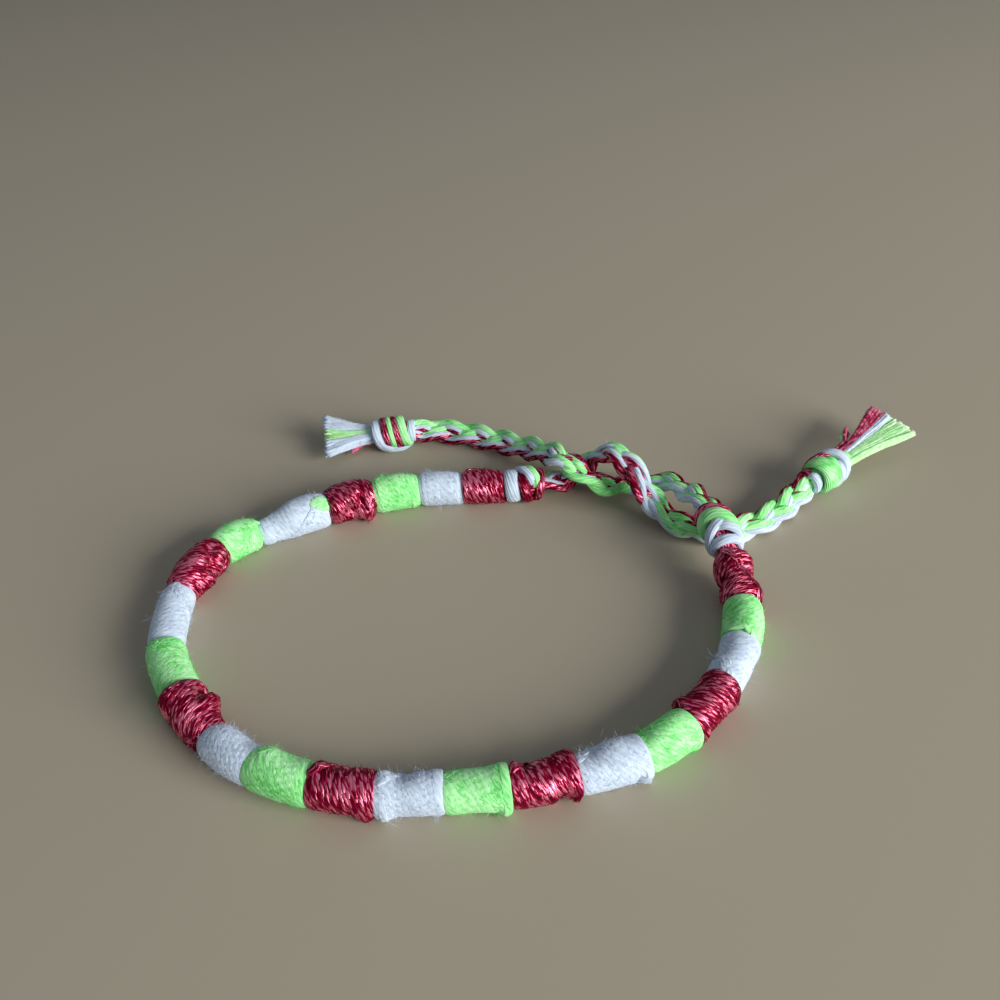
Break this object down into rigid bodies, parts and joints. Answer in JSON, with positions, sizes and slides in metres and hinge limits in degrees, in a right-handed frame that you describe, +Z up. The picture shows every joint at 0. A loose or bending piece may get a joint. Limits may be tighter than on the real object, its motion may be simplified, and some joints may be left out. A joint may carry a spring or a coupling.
{
  "type": "woven thread bracelet",
  "caption": "Knotted cotton thread bracelet in raspberry, white and green wrapped sections, tied shut with two braided ties that end in stopper knots and cut tassels",
  "frame": {"origin": "on the surface it lies on, under the middle of the loop of wrapped sections", "axes": "+Z up through the wrist opening, +X along the loop's long way towards the end where the band climbs to its knot, +Y towards the tied closure"},
  "size_m": [0.0926, 0.0637, 0.0072],
  "materials": {
    "raspberry_floss": "shiny plied thread",
    "white_floss": "fuzzy plied thread",
    "green_floss": "fuzzy plied thread",
    "knotted_floss": "knot of the three thread colours",
    "braided_floss": "braid of the three thread colours",
    "loose_floss": "cut loose thread"
  },
  "bodies": {
    "root": {"section_01_raspberry": "raspberry_floss", "section_02_white": "white_floss", "section_03_green": "green_floss", "section_04_raspberry": "raspberry_floss", "section_05_white": "white_floss", "section_06_green": "green_floss", "section_07_raspberry": "raspberry_floss", "section_08_white": "white_floss", "section_09_green": "green_floss", "section_10_raspberry": "raspberry_floss", "section_11_white": "white_floss", "section_12_green": "green_floss", "section_13_raspberry": "raspberry_floss", "section_14_white": "white_floss", "section_15_green": "green_floss", "section_16_raspberry": "raspberry_floss", "section_17_white": "white_floss", "section_18_green": "green_floss", "section_19_raspberry": "raspberry_floss", "section_20_white": "white_floss", "section_21_green": "green_floss", "section_22_raspberry": "raspberry_floss", "end_knot_left": "knotted_floss", "end_knot_right": "knotted_floss", "tie_right": "braided_floss", "tie_left": "braided_floss", "stopper_knot_right": "knotted_floss", "stopper_knot_left": "knotted_floss", "tassel_right": "loose_floss", "tassel_left": "loose_floss"}
  },
  "joints": []
}
